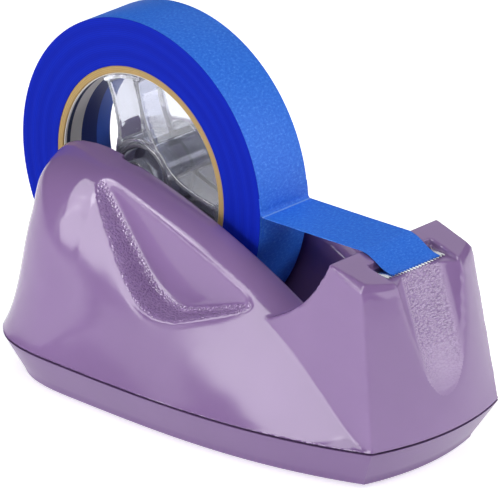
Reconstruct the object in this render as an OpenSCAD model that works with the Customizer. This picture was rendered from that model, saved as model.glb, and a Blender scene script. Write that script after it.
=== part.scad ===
// Weighted desktop tape dispenser with a lift-out three-inch roll of paper tape.
// Millimetres. +X points to the cutter, +Z is up, the table is z = 0.
// The origin is under the middle of the whole object's box.

/* [Housing] */
// Width of the housing at the seam
body_w = 106; // [96:1:130]
// Reach of the front face ahead of the roll's axis, at the seam
nose_reach = 136.6; // [125:0.1:155]
// Reach of the back behind the roll's axis, at the seam
tail_reach = 48; // [42:0.5:56]
// Height of the roll's axis above the table
axis_h = 76.8; // [74:0.1:90]
// Height of the seam between housing and base
seam_h = 18.1; // [15:0.1:18.2]
// Wall of the moulded housing
wall = 2.4; // [1.8:0.1:3]
// Distance of the cheek's highest point behind the axis
peak_back = 20; // [12:0.5:24]
// Height of the cheek's highest point above the axis
peak_rise = 11; // [8:0.1:16]
// Half width between the two cheek crests
crest_half = 17.4; // [16.8:0.1:20]
// Where the falling cheek meets the nose, ahead of the axis
dip_x = 82; // [76:0.5:88]
// Depth of that dip under the axis
dip_fall = 20.8; // [16:0.1:24]
// Width of the rolled rim along each crest
rim_in = 2.8; // [2:0.1:3.5]
// Fall of that rim towards the well
rim_fall = 1.9; // [0.5:0.1:3]
// Front end of the well ahead of the axis
well_front = 98; // [94:0.5:100]

/* [Nose] */
// Width across the nose at its top
nose_w = 54.8; // [50:0.1:60]
// Width across the front corners at the seam
corner_w = 65; // [60:0.1:70]
// Reach of the nose's top corners ahead of the axis
nose_top_x = 120.2; // [117:0.1:123]
// Reach of the front face's centre line at the top
nose_mid_x = 127.5; // [125:0.1:130]
// Fall of the nose's flat top towards the front, in degrees
top_slope = 13; // [10:0.5:16]
// Back edge of the nose's top ahead of the axis
top_back_x = 104.7; // [103:0.1:107]
// Height of that edge above the axis
top_rise = 3.1; // [1:0.1:4]
// Chamfer along the nose's top edges, at the back
nose_chamfer = 0.4; // [0.3:0.1:1]
// The same at the front corners
front_chamfer = 1.6; // [1:0.1:2.5]
// Radius of the hollow behind the nose
throat_r = 46.6; // [44:0.1:50]
// Radius of the thumb dish under the cutter
dish_r = 26; // [22:0.5:32]
// Reach of the dish's floor at the cutter
dish_top_x = 120.4; // [118:0.1:122]
// Height of the dish's lower tip under the axis
dish_fall = 45; // [36:0.5:48]
// Back edge of the cutter's recess ahead of the axis
recess_x = 112.3; // [110:0.1:113]

/* [Grip] */
// Half width of the housing across the two flat grip floors
grip_half = 28.8; // [25:0.1:32]
// Top corner of the grip ahead of the axis
grip_top_x = -2.5; // [-8:0.5:4]
// Low corner of the grip ahead of the axis
grip_low_x = 30; // [24:0.5:36]
// Depth of the low corner under the axis
grip_low_fall = 37.5; // [30:0.5:42]
// Tip of the grip ahead of the axis
grip_tip_x = 73; // [66:0.5:76]

/* [Base] */
// How far the base's foot stands in from the seam at the sides
foot_in_side = 7.5; // [3:0.1:9]
// The same at the front
foot_in_front = 10; // [4:0.1:12]
// The same at the back
foot_in_back = 6; // [3:0.1:8]
// Height of the reveal groove under the seam
reveal_h = 0.8; // [0.4:0.1:1.2]
// Depth of the reveal groove
reveal_in = 1.3; // [0.6:0.1:1.6]
// Thickness of the base's floor
floor_t = 2.4; // [2:0.1:3]
// Height that the pads hold the base off the table
foot_h = 1.5; // [1:0.1:2]
// Radius of a pad
pad_r = 6.5; // [5:0.1:8]
// Thickness of the steel ballast plate
ballast_t = 7.5; // [4:0.1:8]
// Radius of the columns that the screws hold
boss_r = 4.2; // [3.6:0.1:5]
// Radius of a screw's shank
screw_r = 1.5; // [1.2:0.1:2]
// Length of a screw's shank
screw_len = 12; // [8:0.5:16]
// Distance of the screws from the sides at the seam
screw_in_side = 18; // [14:0.5:20]
// Distance of the back screws from the back
screw_in_back = 33; // [30:0.5:36]
// Distance of the front screws from the corners, across
screw_in_corner = 5.5; // [4:0.5:8]
// Distance of the front screws from the front
screw_in_front = 48.5; // [46:0.5:54]
// Distance of the pads' centres from the foot's ends
pad_in_end = 16; // [12:0.5:22]
// Distance of the back pads' centres from the middle
pad_out_back = 24; // [14:0.5:28]
// Distance of the front pads' centres from the middle
pad_out_front = 19; // [14:0.5:22]

/* [Roll] */
// Outside diameter of the tape on its core
roll_d = 117; // [100:1:118]
// Bore of the cardboard core
core_bore = 76.2; // [76:0.1:77]
// Wall of the cardboard core
core_t = 2.6; // [1.5:0.1:4]
// Width of the tape
tape_w = 24; // [18:0.5:25]
// Thickness of the tape, drawn heavier than life
tape_t = 0.4; // [0.3:0.05:0.6]
// Thickness of the paper sleeve in the core
liner_t = 0.3; // [0.2:0.05:0.5]

/* [Hub] */
// Radius of the one-inch barrel
barrel_r = 12.4; // [11:0.1:12.6]
// Radius of the axle stubs
axle_r = 4; // [3:0.1:5]
// Wall of the barrel and thickness of the arms
hub_t = 1.9; // [1.4:0.1:2.4]
// Number of arms on the three-inch adapter
arms = 3; // [3:1:5]
// Turn of the first arm's outer end
arm_at = 117; // [0:1:359]
// Sweep of an arm from its root to its outer end
arm_sweep = 37; // [20:1:50]
// Turn of an arm's other root
arm_heel = 60; // [50:1:75]
// Sector between the two outer ends of an arm
pad_sweep = 23; // [16:1:32]
// Depth of the slots that carry the axle
slot_deep = 2.2; // [1.6:0.1:4]
// Radius of the collars that keep the hub off the well's walls
collar_r = 6.5; // [6:0.1:7]
// Depth of the cups in the barrel's ends
cup_deep = 7; // [3:0.5:9]

/* [Cutter] */
// Width of the blade
blade_w = 29.6; // [26:0.1:31]
// Thickness of the blade
blade_t = 0.8; // [0.6:0.1:1.2]
// Pitch of the teeth
tooth_pitch = 1.48; // [1:0.01:2.5]
// Height of the teeth
tooth_h = 1.1; // [0.6:0.1:1.6]
// How far the teeth stand out over the dish
tooth_proud = 0.8; // [0.3:0.1:1.2]
// Depth of the teeth under the axis
tooth_fall = 1.7; // [1:0.1:3]
// Upward tilt of the blade
seat_tilt = 8; // [0:1:12]

/* [Clearances] */
// Room between the roll and the well's curved wall
roll_room = 3; // [2:0.1:4]
// Room between the roll's sides and the well's flat walls
side_room = 3; // [2:0.1:4]
// Running fit of the axle in its slots, on the radius
axle_fit = 0.1; // [0.05:0.01:0.2]
// Fit between pieces that are pushed together
push_fit = 0.05; // [0.02:0.01:0.1]
// Gap between bodies that pass each other
pass_gap = 0.4; // [0.3:0.1:1]
// Room at the blade's ends and back
blade_room = 1.1; // [0.5:0.1:1.5]
// Room round the ballast
ballast_room = 0.8; // [0.5:0.1:1.5]
// Room round the screws in the base
screw_room = 0.3; // [0.2:0.05:0.5]

/* [Hidden] */
$fn = 72;
plastic = [0.58, 0.46, 0.66];
base_tone = [0.54, 0.44, 0.63];
clear = [0.85, 0.88, 0.92];
steel = [0.75, 0.76, 0.78];
tape_blue = [0.13, 0.27, 0.78];
card = [0.66, 0.55, 0.33];
paper = [0.88, 0.88, 0.86];
rubber = [0.12, 0.12, 0.13];

roll_r = roll_d / 2;
core_r = core_bore / 2 + core_t;
axis_x = (max(roll_r, tail_reach) - nose_reach) / 2;
well_half = tape_w / 2 + side_room;
well_r = roll_r + roll_room;
seam_z = seam_h - axis_h;
floor_z = foot_h + floor_t;
recess_half = blade_w / 2 + blade_room;
tooth_x = dish_top_x + tooth_proud;
blade_len = (tooth_x - recess_x - blade_room) / cos(seat_tilt);
bore_r = core_bore / 2 - push_fit - liner_t;
sleeve_r = barrel_r + push_fit + hub_t;
pad_in = bore_r - push_fit - hub_t;
peel_z = 2.1;
bow_r = 87;
side_pow = 2.9;
rear_pow = 0.63;
n_rear = 14;
n_side = 26;
n_front = 10;
n_up = 14;
n_rim = 2;

boss_at = [
    for (side = [1, -1]) each [
        [screw_in_back - tail_reach, side * (body_w / 2 - screw_in_side)],
        [nose_reach - screw_in_front, side * (corner_w / 2 - screw_in_corner)]
    ]
];
pad_at = [
    for (side = [1, -1]) each [
        [pad_in_end + foot_in_back - tail_reach, side * pad_out_back],
        [nose_reach - foot_in_front - pad_in_end, side * pad_out_front]
    ]
];

// An outline is [tail, half width, half width at the corner, reach, bow radius].
seam_line = [tail_reach, body_w / 2, corner_w / 2, nose_reach, bow_r];
foot_line = [
    tail_reach - foot_in_back, body_w / 2 - foot_in_side,
    corner_w / 2 - foot_in_side * 0.67, nose_reach - foot_in_front, bow_r
];

function mix(a, b, t) = a + (b - a) * t;
function inset(o, d) = [o[0] - d, o[1] - d, o[2] - d, o[3] - d, o[4]];
function between(a, b, t) = [for (k = [0 : 4]) mix(a[k], b[k], t)];
function cubic(a, b, c, d, t) =
    a * pow(1 - t, 3) + 3 * b * t * pow(1 - t, 2) + 3 * c * t * t * (1 - t) + d * pow(t, 3);
function ease(t) = let (u = max(0, min(1, t))) u * u * (3 - 2 * u);
function corner_x(o) = o[3] - o[4] + sqrt(o[4] * o[4] - o[2] * o[2]);
function rear_pt(o, a) = [-o[0] * pow(cos(a), rear_pow), o[1] * pow(sin(a), rear_pow)];
function side_pt(o, u) = [u * corner_x(o), o[1] - (o[1] - o[2]) * pow(u, side_pow)];
function front_pt(o, y) = [o[3] - o[4] + sqrt(o[4] * o[4] - y * y), y];
function flank(o) = concat(
    [for (k = [0 : n_rear - 1]) rear_pt(o, 90 * k / n_rear)],
    [for (k = [0 : n_side]) side_pt(o, k / n_side)]
);
function half_line(o) = concat(
    flank(o),
    [for (k = [1 : n_front]) front_pt(o, o[2] * (1 - k / n_front))]
);

// Joins mirrored half sections into one closed skin. Each half is a list of columns
// that runs from the back to the front, and the first column lies on the middle plane.
module skin(half, front_open) {
    cols = len(half);
    rows = len(half[0]);
    last = front_open ? cols - 1 : cols - 2;
    left = [for (c = [0 : cols - 1]) for (p = half[c]) p];
    right = [for (c = [1 : last]) for (p = half[c]) [p[0], -p[1], p[2]]];
    function l(c, r) = c * rows + r;
    function m(c, r) = c == 0 || c > last ? l(c, r) : cols * rows + (c - 1) * rows + r;
    walls = [
        for (c = [0 : cols - 2]) for (r = [0 : rows - 2]) each [
            [l(c, r), l(c + 1, r + 1), l(c, r + 1)], [l(c, r), l(c + 1, r), l(c + 1, r + 1)],
            [m(c, r), m(c, r + 1), m(c + 1, r + 1)], [m(c, r), m(c + 1, r + 1), m(c + 1, r)]
        ]
    ];
    lids = [
        for (c = [0 : cols - 2]) each [
            [l(c, 0), m(c + 1, 0), l(c + 1, 0)], [l(c, 0), m(c, 0), m(c + 1, 0)],
            [l(c, rows - 1), l(c + 1, rows - 1), m(c + 1, rows - 1)],
            [l(c, rows - 1), m(c + 1, rows - 1), m(c, rows - 1)]
        ]
    ];
    ends = !front_open ? [] : [
        for (r = [0 : rows - 2]) each [
            [l(last, r), m(last, r + 1), l(last, r + 1)],
            [l(last, r), m(last, r), m(last, r + 1)]
        ]
    ];
    whole = [
        for (f = concat(walls, lids, ends)) if (f[0] != f[1] && f[1] != f[2] && f[2] != f[0]) f
    ];
    polyhedron(concat(left, right), whole, convexity = 8);
}

// Stack of outlines, each [outline, z].
module stack(rings) {
    lines = [for (g = rings) half_line(g[0])];
    skin([
        for (c = [0 : len(lines[0]) - 1]) [
            for (r = [0 : len(rings) - 1]) [lines[r][c][0], lines[r][c][1], rings[r][1]]
        ]
    ], false);
}

module at_axis() {
    translate([axis_x, 0, axis_h]) children();
}

module lie_along_y() {
    rotate([90, 0, 0]) children();
}

// Height of the cheek's crest at x, both counted from the axis.
crest_lin = 0.12;
crest_sq = (peak_rise + dip_fall - crest_lin * (dip_x + peak_back)) / pow(dip_x + peak_back, 2);
function crest_z(x, end_x) =
    x <= dip_x
        ? peak_rise - crest_lin * (x + peak_back) - crest_sq * pow(x + peak_back, 2)
        : let (
            t = x - dip_x,
            slope = crest_lin + 2 * crest_sq * (dip_x + peak_back),
            bend = (seam_z + 0.6 + dip_fall + slope * (end_x - dip_x)) / pow(end_x - dip_x, 2)
        ) -dip_fall - slope * t + bend * t * t;

// The flared saddle: two cheeks that fall from the crest and sweep out to the seam.
function saddle_ribs(thin, drop) = let (
    o = inset(seam_line, thin),
    base = flank(o),
    end_x = corner_x(o)
) [
    for (k = [0 : len(base) - 1]) let (
        a = min(90, 90 * k / n_rear),
        q = sin(a),
        w = ease((k - n_rear * 0.55) / (n_rear * 0.45 + n_side * 0.32)),
        s = base[k],
        c = k < n_rear
            ? [-(peak_back - thin) * (1 - q), (crest_half - thin) * pow(q, rear_pow)]
            : [s[0], crest_half - thin],
        top = crest_z(c[0], end_x) - thin * 1.1,
        foot = seam_z - drop
    ) [
        for (j = [0 : n_up]) let (
            t = j / n_up,
            h = cubic(0, mix(0.3, 0.33, w), mix(0.02, 0.5, w), 1, t),
            v = cubic(0, mix(0.36, 0.38, w), 1, 1, t)
        ) [mix(s[0], c[0], h), mix(s[1], c[1], h), mix(foot, max(top, foot + rim_fall + 0.3), v)],
        for (j = [1 : n_rim]) let (t = j / n_rim) [
            c[0] + rim_in * (1 - q) * t,
            c[1] * (1 - t * rim_in / crest_half),
            max(top, foot + rim_fall + 0.3) - rim_fall * t * t
        ]
    ]
];

module saddle(thin, drop) {
    skin(saddle_ribs(thin, drop), true);
}

// The nose: flat drafted sides and a bowed, raked front.
module nose_block(thin, drop) {
    top = top_rise + 1.5;
    levels = 9;
    steps = [for (k = [0 : levels]) k / levels];
    back = 58;
    rings = [
        for (t = steps) let (
            z = mix(seam_z, top, t),
            half = mix(corner_w, nose_w, t) / 2 - thin,
            lean = max(0, z + 4) * 0.5,
            xk = mix(corner_x(seam_line), nose_top_x, t) - lean - thin,
            xm = mix(nose_reach, nose_mid_x, t) + 2.3 * 4 * t * (1 - t) - lean - thin,
            sag = xm - xk,
            r = (half * half + sag * sag) / (2 * sag)
        ) [
            for (k = [0 : n_front + 2])
                k == 0 ? [back - 4, 0, z]
                : k == 1 ? [back, half, z]
                : let (y = half * (1 - (k - 2) / n_front)) [xm - r + sqrt(r * r - y * y), y, z]
        ]
    ];
    skin([
        for (c = [0 : n_front + 2]) concat(
            drop > 0 ? [rings[0][c] - [0, 0, drop]] : [],
            [for (r = rings) r[c]]
        )
    ], false);
}

// Limits the nose to its sloped flat top, whose chamfered edges widen towards the front.
module nose_top(thin) {
    deep = 16;
    ends = [-20, 40];
    function edge(x) = nose_w / 2 - thin * 0.6
        - mix(nose_chamfer, front_chamfer, x / (nose_top_x - top_back_x));
    translate([top_back_x, 0, top_rise]) rotate([0, top_slope, 0]) translate([0, 0, -thin]) hull()
        for (down = [0, deep]) translate([0, 0, -down - 0.1]) linear_extrude(height = 0.1)
            polygon([
                [ends[0], edge(ends[0]) + down], [ends[1], edge(ends[1]) + down],
                [ends[1], -edge(ends[1]) - down], [ends[0], -edge(ends[0]) - down]
            ]);
    low = -9 - thin;
    translate([0, -body_w / 2, seam_z - 20]) cube([nose_reach + 20, body_w, low - seam_z + 20]);
}

module throat(thin) {
    translate([dip_x - 20.4, 0, 19])
        lie_along_y()
            cylinder(r = throat_r + thin, h = body_w, center = true);
}

module nose(thin, drop) {
    difference() {
        intersection() {
            nose_block(thin, drop);
            nose_top(thin);
        }
        throat(thin);
    }
}

// The slot that the roll hangs in, in side view, grown by a wall where asked.
// A ramp leads from under the roll to the front end.
module well_side(grow) {
    r = well_r + grow;
    turn = 23;
    circle(r = r, $fn = 120);
    polygon([
        [0, -r], [r * sin(turn), -r * cos(turn)],
        [well_front - 20 + grow, seam_z * 0.75 - grow * 0.8],
        [well_front + grow, seam_z * 0.28 - grow * 0.4],
        [well_front + grow, roll_r], [0, roll_r]
    ]);
}

module well(grow) {
    lie_along_y()
        linear_extrude(height = 2 * (well_half + grow), center = true)
            well_side(grow);
}

// The trough's bottom hangs below the seam, inside the base.
module trough() {
    intersection() {
        well(wall);
        translate([-well_r, -body_w / 2, seam_z - 20]) cube([2 * well_r, body_w, 20.5]);
    }
}

// Grip seen from the side: a leaf with a rounded low corner, open above the cheek.
function grip_top_z() = crest_z(grip_top_x, corner_x(seam_line)) - 4;
function grip_tip_z() = crest_z(grip_tip_x, corner_x(seam_line)) - 6;
module grip_side(grow) {
    top = [grip_top_x - grow, grip_top_z() + grow];
    low = [grip_low_x - grow, -grip_low_fall - grow];
    tip = [grip_tip_x + grow, grip_tip_z() - grow];
    a = mix(top, low, 0.62);
    b = mix(low, tip, 0.35);
    polygon(concat(
        [[tip[0], 30], [top[0], 30], top],
        [for (k = [0 : 12]) let (t = k / 12) pow(1 - t, 2) * a + 2 * t * (1 - t) * low + t * t * b],
        [tip]
    ));
}

module grips(grow) {
    for (side = [-1, 1])
        translate([0, side * (grip_half - grow + 20), 0])
            lie_along_y()
                linear_extrude(height = 40, center = true)
                    grip_side(grow);
}

// The dish is one round scoop that runs down the front from the cutter to its tip.
module dish(grow) {
    lean = atan2(nose_reach - 0.5 - dish_top_x, dish_fall - 2);
    translate([dish_top_x, 0, -2])
        rotate([0, 180 - lean, 0])
            translate([-dish_r, 0, -dish_r])
                cylinder(r = dish_r + grow, h = nose_reach);
}

// The cutter lies on the sloped floor of a recess that opens into the dish.
module at_seat() {
    translate([tooth_x, 0, -tooth_fall]) rotate([0, -seat_tilt, 0]) children();
}

module recess(grow) {
    intersection() {
        at_seat() translate([-40, -recess_half - grow, -blade_t - grow])
            cube([80, 2 * (recess_half + grow), 40]);
        translate([recess_x - grow, -40, -30]) cube([60, 80, 60]);
    }
}

// Round-bottomed slots in the well's walls carry the axle.
module axle_slots() {
    r = axle_r + axle_fit;
    for (side = [-1, 1])
        translate([0, side * (well_half + slot_deep / 2 - 0.5), 0])
            lie_along_y() {
                cylinder(r = r, h = slot_deep + 1, center = true);
                translate([-r, 0, -slot_deep / 2 - 0.5]) cube([2 * r, 40, slot_deep + 1]);
            }
}

module axle_blocks() {
    half = axle_r + 4;
    deep = well_half + slot_deep + wall;
    translate([-half, -deep, -half]) cube([2 * half, 2 * deep, 60]);
}

module columns(r, from, upto) {
    for (p = boss_at) translate([p[0], p[1], from]) cylinder(r = r, h = upto - from);
}

module body_skin() {
    saddle(0, 0);
    nose(0, 0);
    trough();
}

module body_cavity() {
    difference() {
        union() {
            saddle(wall, 6);
            nose(wall, 6);
        }
        well(wall);
        grips(wall);
        dish(wall);
        recess(wall);
        axle_blocks();
        columns(boss_r, seam_z - 10, 60);
    }
}

module body_shell() {
    color(plastic) at_axis() difference() {
        union() {
            difference() {
                body_skin();
                body_cavity();
                well(0);
                grips(0);
                dish(0);
                recess(0);
            }
            columns(boss_r, floor_z - axis_h, seam_z + 1);
        }
        axle_slots();
        columns(screw_r + push_fit, floor_z - axis_h - 1, floor_z - axis_h + screw_len);
    }
}

// The base: a tapered tray with a reveal groove under the seam and a lip inside the housing.
module base_tray() {
    color(base_tone) translate([axis_x, 0, 0]) difference() {
        union() {
            stack([
                [inset(foot_line, 1.6), foot_h],
                [between(foot_line, seam_line, 0.06), foot_h + 1.4],
                [seam_line, seam_h - reveal_h]
            ]);
            stack([
                [inset(seam_line, reveal_in), seam_h - reveal_h - 1],
                [inset(seam_line, reveal_in), seam_h]
            ]);
        }
        stack([
            [inset(foot_line, wall), floor_z],
            [inset(seam_line, reveal_in + wall * 0.7), seam_h + 1]
        ]);
        for (p = boss_at) translate([p[0], p[1], 0]) {
            cylinder(r = screw_r + screw_room, h = floor_z + 1);
            cylinder(r = screw_r * 2 + screw_room, h = foot_h + floor_t / 2);
        }
        for (p = pad_at) translate([p[0], p[1], 0]) cylinder(r = pad_r + push_fit, h = foot_h + 0.5);
    }
}

// A steel plate on the base's floor keeps the dispenser still while tape is torn.
module ballast() {
    line = half_line(inset(foot_line, wall + ballast_room));
    color(steel) difference() {
        translate([axis_x, 0, floor_z]) linear_extrude(height = ballast_t) difference() {
            polygon(concat(line, [for (k = [len(line) - 2 : -1 : 1]) [line[k][0], -line[k][1]]]));
            for (p = boss_at) translate(p) circle(r = boss_r + ballast_room);
        }
        at_axis() well(wall + ballast_room);
    }
}

module base_screws() {
    color(steel) for (p = boss_at) translate([axis_x + p[0], p[1], foot_h]) difference() {
        union() {
            cylinder(r = screw_r * 2, h = floor_t / 2);
            cylinder(r = screw_r, h = floor_t + screw_len - 1);
        }
        for (turn = [0, 90]) rotate(turn)
            translate([-screw_r * 1.2, -0.4, -1]) cube([screw_r * 2.4, 0.8, 1.6]);
    }
}

module foot_pad(k) {
    color(rubber) translate([axis_x + pad_at[k][0], pad_at[k][1], 0]) {
        cylinder(r1 = pad_r - 0.4, r2 = pad_r, h = 0.4);
        translate([0, 0, 0.4]) cylinder(r = pad_r, h = foot_h + 0.1);
    }
}

// A saw-toothed steel strip, its teeth just proud of the dish.
module cutter_blade() {
    teeth = floor(blade_w / tooth_pitch);
    pitch = blade_w / teeth;
    color(steel) at_axis() at_seat() translate([0, 0, -blade_t]) linear_extrude(height = blade_t)
        polygon(concat(
            [[-blade_len, -blade_w / 2]],
            [for (k = [0 : teeth - 1]) each [
                [-tooth_h, -blade_w / 2 + k * pitch],
                [0, -blade_w / 2 + (k + 0.5) * pitch]
            ]],
            [[-tooth_h, blade_w / 2], [-blade_len, blade_w / 2]]
        ));
}

// One-inch barrel with cupped ends and the axle stubs that hang in the slots.
module hub_spool() {
    half = tape_w / 2 - 1;
    end = well_half + slot_deep - pass_gap;
    color(clear) at_axis() lie_along_y() difference() {
        union() {
            cylinder(r = barrel_r, h = 2 * half, center = true);
            cylinder(r = collar_r, h = 2 * (well_half - pass_gap), center = true);
            cylinder(r = axle_r, h = 2 * end, center = true);
        }
        for (turn = [0, 180]) rotate([turn, 0, 0])
            translate([0, 0, half - cup_deep]) difference() {
                cylinder(r = barrel_r - hub_t, h = cup_deep + 1);
                cylinder(r = collar_r, h = cup_deep + 1);
            }
    }
}

// A bent wall of the adapter, from its root over a control point to its outer end.
function bend(p, t) = p[0] * pow(1 - t, 2) + p[1] * 2 * t * (1 - t) + p[2] * t * t;
function bend_side(p, t) =
    let (d = (p[1] - p[0]) * (1 - t) + (p[2] - p[1]) * t) [-d[1], d[0]] / norm(d);
function bend_line(p, off) = [for (k = [0 : 10]) bend(p, k / 10) + off * bend_side(p, k / 10)];
function turned(list) = [for (k = [len(list) - 1 : -1 : 0]) list[k]];
function polar(r, a) = r * [cos(a), sin(a)];

// Clear adapter: a sleeve, and swept box arms whose curved pads grip the core.
module arm() {
    root_r = sleeve_r - hub_t / 2;
    tip_r = pad_in + hub_t / 2;
    foot = polar(root_r, arm_sweep);
    heel = polar(root_r, -arm_heel);
    back = polar(tip_r, -pad_sweep);
    lead = [foot, [mix(foot[0], tip_r, 0.22), foot[1] * 0.14], [tip_r, 0]];
    trail = [heel, [mix(heel[0], back[0], 0.46), back[1] * 0.65], back];
    linear_extrude(height = tape_w - 2, center = true)
        for (p = [lead, trail])
            polygon(concat(bend_line(p, hub_t / 2), turned(bend_line(p, -hub_t / 2))));
    linear_extrude(height = hub_t, center = true)
        polygon(concat(bend_line(lead, 0), turned(bend_line(trail, 0))));
    rotate(-pad_sweep - 3) rotate_extrude(angle = pad_sweep + 6)
        translate([pad_in, 0.5 - tape_w / 2]) square([hub_t, tape_w - 1]);
}

module core_adapter() {
    color(clear) at_axis() lie_along_y() difference() {
        union() {
            cylinder(r = sleeve_r, h = tape_w - 2, center = true);
            for (k = [0 : arms - 1]) rotate(arm_at + k * 360 / arms) arm();
        }
        cylinder(r = barrel_r + push_fit, h = tape_w, center = true);
    }
}

module tube(r_in, r_out, h) {
    at_axis() lie_along_y() difference() {
        cylinder(r = r_out, h = h, center = true, $fn = 144);
        cylinder(r = r_in, h = h + 2, center = true, $fn = 144);
    }
}

module cardboard_core() {
    color(card) tube(core_bore / 2, core_r, tape_w);
}

module core_liner() {
    color(paper) tube(bore_r, core_bore / 2 - push_fit, tape_w - 1);
}

// Wound tape: a solid winding whose outer turn spirals in by one tape from the peel line.
module tape_roll() {
    turns = 180;
    start = asin(peel_z / roll_r);
    color(tape_blue) at_axis() lie_along_y() linear_extrude(height = tape_w, center = true)
        difference() {
            polygon([
                for (k = [0 : turns]) polar(roll_r - tape_t * k / turns, start + 360 * k / turns)
            ]);
            circle(r = core_r + push_fit, $fn = 144);
        }
}

// The pulled strip, from the roll over the nose's back edge to the cutter.
module tape_lead() {
    path = [
        [sqrt(roll_r * roll_r - peel_z * peel_z) + pass_gap, peel_z],
        [top_back_x + 0.6, top_rise + pass_gap], [recess_x - 2.5, top_rise - 0.4],
        [recess_x + 1.2, top_rise - 2.3], [tooth_x - 0.3, pass_gap - tooth_fall]
    ];
    color(tape_blue) at_axis() lie_along_y() linear_extrude(height = tape_w, center = true)
        polygon(concat(path, [for (p = turned(path)) p + [0, tape_t]]));
}

body_shell();
base_tray();
ballast();
base_screws();
for (k = [0 : 3]) foot_pad(k);
cutter_blade();
hub_spool();
core_adapter();
cardboard_core();
core_liner();
tape_roll();
tape_lead();
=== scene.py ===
import math
from collections import namedtuple

import bmesh
import bpy
from mathutils import Matrix, Vector
from mathutils.bvhtree import BVHTree
from mathutils.kdtree import KDTree


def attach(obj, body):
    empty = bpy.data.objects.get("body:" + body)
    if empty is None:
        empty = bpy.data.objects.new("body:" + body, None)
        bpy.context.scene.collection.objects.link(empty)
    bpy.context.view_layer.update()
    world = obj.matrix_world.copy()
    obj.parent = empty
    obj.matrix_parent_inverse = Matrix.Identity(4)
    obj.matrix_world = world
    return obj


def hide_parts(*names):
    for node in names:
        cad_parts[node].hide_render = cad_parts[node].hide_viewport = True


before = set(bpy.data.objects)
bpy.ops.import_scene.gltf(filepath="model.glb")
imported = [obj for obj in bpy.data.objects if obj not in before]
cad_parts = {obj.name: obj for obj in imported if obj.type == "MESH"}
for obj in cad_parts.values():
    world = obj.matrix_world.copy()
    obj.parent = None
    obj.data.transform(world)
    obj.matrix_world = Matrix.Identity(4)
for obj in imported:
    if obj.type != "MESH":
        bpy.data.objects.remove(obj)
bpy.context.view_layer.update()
print("frame loaded:", len(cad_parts), "nodes")

# everything is modelled in millimetres round the roll's axis, then put in the frame
mm = 0.001
axis = Vector((-39.05, 0, 76.8))
toFrame = Matrix.Scale(mm, 4) @ Matrix.Translation(axis)
seamZ = -58.7
gripHalf = 28.8  # the grips' floors, out from the middle
stripWeb = 400  # keeps the strip's crepe apart from the roll's


def mix(a, b, t):
    return a + (b - a) * t


def ease(t):
    t = max(0.0, min(1.0, t))
    return t * t * (3 - 2 * t)


def cubic(a, b, c, d, t):
    s = 1 - t
    return a * s**3 + 3 * b * t * s * s + 3 * c * t * t * s + d * t**3


def polar(r, degrees):
    return Vector((r * math.cos(math.radians(degrees)), 0, r * math.sin(math.radians(degrees))))


# materials


def linear(code):
    parts = [int(code[i:i + 2], 16) / 255 for i in (1, 3, 5)]
    return tuple(p / 12.92 if p < 0.04045 else ((p + 0.055) / 1.055) ** 2.4 for p in parts) + (1,)


def put(mat, kind, links=None, **settings):
    # adds one node; a setting is a socket's or an attribute's name, a link joins an output to a socket
    node = mat.node_tree.nodes.new(kind)
    for name, value in settings.items():
        if hasattr(node, name):
            setattr(node, name, value)
        else:
            node.inputs[name.replace("_", " ")].default_value = value
    for socket, source in (links or {}).items():
        if isinstance(source, bpy.types.NodeSocket):
            mat.node_tree.links.new(source, node.inputs[socket])
        else:
            node.inputs[socket].default_value = source
    return node


def newMaterial(name):
    mat = bpy.data.materials.new(name)
    mat.use_nodes = True
    mat.node_tree.nodes.clear()
    return mat


def finishMaterial(mat, surface):
    put(mat, "ShaderNodeOutputMaterial", {"Surface": surface.outputs[0]})
    return mat


def stops(node, points):
    ramp = node.color_ramp
    while len(ramp.elements) < len(points):
        ramp.elements.new(0.5)
    for element, (place, code) in zip(ramp.elements, points):
        element.position = place
        element.color = linear(code)
    return node


absIor = 1.53
plain = dict(body="#8D70A1", deep="#896C9D", rough=0.11, shine=0.5)  # the housing's smooth plastic


# gloss-moulded ABS: even colour, soft wide highlights, a faint 9 mm swell left by the mould
def glossAbs(name, body, deep, rough, shine):
    mat = newMaterial(name)
    place = put(mat, "ShaderNodeTexCoord").outputs["Object"]
    cloud = put(mat, "ShaderNodeTexNoise", {"Vector": place}, Scale=1 / (30 * mm), Detail=2.0)
    tone = stops(put(mat, "ShaderNodeValToRGB", {"Fac": cloud.outputs[0]}), [(0.3, deep), (0.7, body)])
    wave = put(mat, "ShaderNodeTexNoise", {"Vector": place}, Scale=1 / (9 * mm), Detail=1.0)
    bump = put(mat, "ShaderNodeBump", {"Height": wave.outputs[0]}, Strength=0.25, Distance=0.12 * mm)
    fine = put(mat, "ShaderNodeTexNoise", {"Vector": place}, Scale=1 / (0.5 * mm), Detail=2.0)
    gloss = put(mat, "ShaderNodeMapRange", {"Value": fine.outputs[0]}, To_Min=rough - 0.03, To_Max=rough + 0.03)
    shader = put(
        mat, "ShaderNodeBsdfPrincipled",
        {"Base Color": tone.outputs[0], "Roughness": gloss.outputs[0], "Normal": bump.outputs[0]},
        IOR=absIor, Specular_IOR_Level=shine)
    return finishMaterial(mat, shader)


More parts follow.
